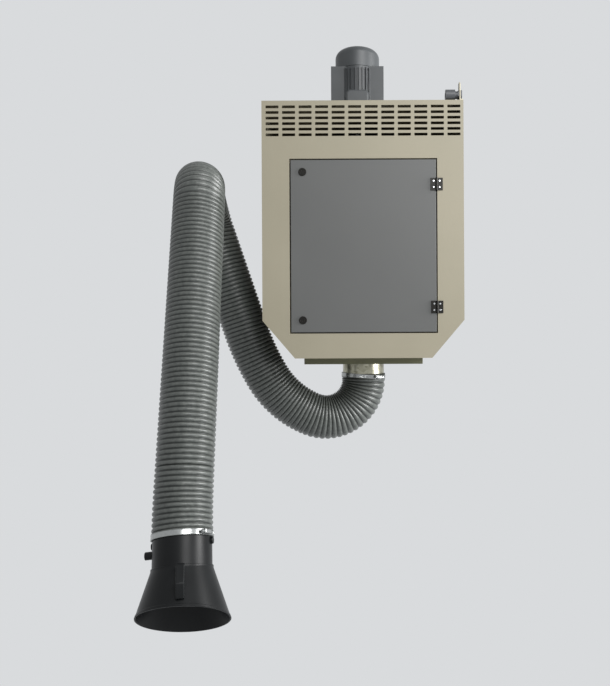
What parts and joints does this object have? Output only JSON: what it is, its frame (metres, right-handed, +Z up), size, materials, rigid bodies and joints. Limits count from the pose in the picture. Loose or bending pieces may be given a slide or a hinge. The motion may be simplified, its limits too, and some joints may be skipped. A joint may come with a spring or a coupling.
{
  "type": "fume extraction arm",
  "caption": "Wall-mounted fume filter cabinet with roof fan motor and a jointed ribbed hose arm ending in a flared hood.",
  "frame": {"origin": "on the wall plane, at the centre of the four wall bolts, at mid-height of the cabinet", "axes": "+Y into the wall, +X to the right as seen from the front, +Z up"},
  "size_m": [1.01, 1.1788, 1.8568],
  "materials": {
    "paint_beige": "textured powder coat",
    "paint_door": "satin powder coat",
    "paint_cream": "powder coat",
    "zinc": "galvanised",
    "motor_paint": "enamel on cast aluminium",
    "black_steel": "black zinc",
    "black_plastic": "moulded",
    "gland_grey": "moulded",
    "acetal": "machined",
    "rubber_seal": "cellular rubber",
    "hose": "coated fabric over a wire helix",
    "filter_paper": "pleated filter paper",
    "cast_aluminium": "cast, dark",
    "arm_tube": "powder-coated steel tube",
    "bright_steel": "turned"
  },
  "bodies": {
    "cabinet": {"housing": "paint_beige", "back_panel": "paint_beige", "wall_rail_upper": "zinc", "wall_rail_lower": "zinc", "fan_deck": "paint_beige", "inlet_cone": "zinc", "filter_rails": "zinc", "filter_flange": "zinc", "filter_media": "filter_paper", "filter_end_cap": "black_plastic", "spark_baffle": "zinc", "inlet_tray": "paint_beige", "slide_ring": "acetal", "keeper_ring": "zinc", "gland_lug": "paint_cream", "cable_gland": "gland_grey", "hinge_frame_leaves": "black_steel", "hinge_pins": "black_steel", "hinge_frame_screws": "bright_steel", "motor_plinth": "motor_paint", "motor_body": "motor_paint", "motor_cowl": "motor_paint", "terminal_box": "motor_paint", "terminal_lid": "motor_paint"},
    "door": {"door_panel": "paint_door", "door_seal": "rubber_seal", "hinge_door_leaves": "black_steel", "hinge_door_screws": "bright_steel", "lock_bezels": "black_steel"},
    "upper_lock": {"lock_upper": "black_steel"},
    "lower_lock": {"lock_lower": "black_steel"},
    "fan": {"motor_shaft": "bright_steel", "impeller": "cast_aluminium"},
    "swivel": {"spigot": "zinc", "arm_spider": "zinc", "gooseneck": "arm_tube", "shoulder_fork": "cast_aluminium", "shoulder_pin": "bright_steel", "hose_cuff_top": "hose", "hose_clamp_top": "zinc", "hose_loop": "hose"},
    "lower_arm": {"hose_shoulder": "hose", "lower_tube": "arm_tube", "hose_lower": "hose"},
    "elbow": {"elbow_casting": "cast_aluminium", "elbow_pin": "bright_steel", "hose_elbow": "hose"},
    "upper_arm": {"upper_casting": "cast_aluminium", "upper_tube": "arm_tube", "wrist_pin": "bright_steel", "hose_upper": "hose", "hose_wrist": "hose"},
    "hood": {"hood_hub": "cast_aluminium", "hood_collar": "black_plastic", "hood_cone": "black_plastic", "hood_handle": "black_plastic", "hose_cuff_hood": "hose", "hose_clamp_hood": "zinc"},
    "damper": {"damper_flap": "black_plastic"}
  },
  "joints": [
    {"name": "door_hinge", "type": "hinge", "parent": "cabinet", "child": "door", "pos_m": [0.2375, -0.654, -0.0535], "axis": [0, 0, 1], "range_deg": [0, 110]},
    {"name": "upper_lock_turn", "type": "hinge", "parent": "door", "child": "upper_lock", "pos_m": [-0.1945, -0.65, 0.185], "axis": [0, 1, 0], "range_deg": [0, 90]},
    {"name": "lower_lock_turn", "type": "hinge", "parent": "door", "child": "lower_lock", "pos_m": [-0.1945, -0.65, -0.292], "axis": [0, 1, 0], "range_deg": [-90, 0]},
    {"name": "fan_spin", "type": "hinge", "parent": "cabinet", "child": "fan", "pos_m": [-0.017, -0.325, 0.34], "axis": [0, 0, 1], "continuous": true},
    {"name": "arm_swivel", "type": "hinge", "parent": "cabinet", "child": "swivel", "pos_m": [0, -0.325, -0.45], "axis": [0, 0, 1], "range_deg": [-22, 2]},
    {"name": "shoulder", "type": "hinge", "parent": "swivel", "child": "lower_arm", "pos_m": [-0.3647, -0.38931, -0.49126], "axis": [-0.1736, 0.9848, 0], "range_deg": [-70, 2], "deforming": ["hose_shoulder"]},
    {"name": "elbow_turn", "type": "hinge", "parent": "lower_arm", "child": "elbow", "pos_m": [-0.53573, -0.41946, 0.02481], "axis": [-0.3141, -0.0554, 0.9478], "range_deg": [-110, 14]},
    {"name": "elbow", "type": "hinge", "parent": "elbow", "child": "upper_arm", "pos_m": [-0.54492, -0.56322, 0.15787], "axis": [-0.9671, -0.2483, 0.0546], "range_deg": [-8, 85], "deforming": ["hose_elbow"]},
    {"name": "hood_tilt", "type": "hinge", "parent": "upper_arm", "child": "hood", "pos_m": [-0.49375, -0.97685, -0.81691], "axis": [-0.7923, -0.5853, 0.1725], "range_deg": [-35, 35], "deforming": ["hose_wrist"]},
    {"name": "damper_turn", "type": "hinge", "parent": "hood", "child": "damper", "pos_m": [-0.48274, -1.02096, -0.91598], "axis": [-0.9939, 0, -0.1105], "range_deg": [0, 90]}
  ]
}
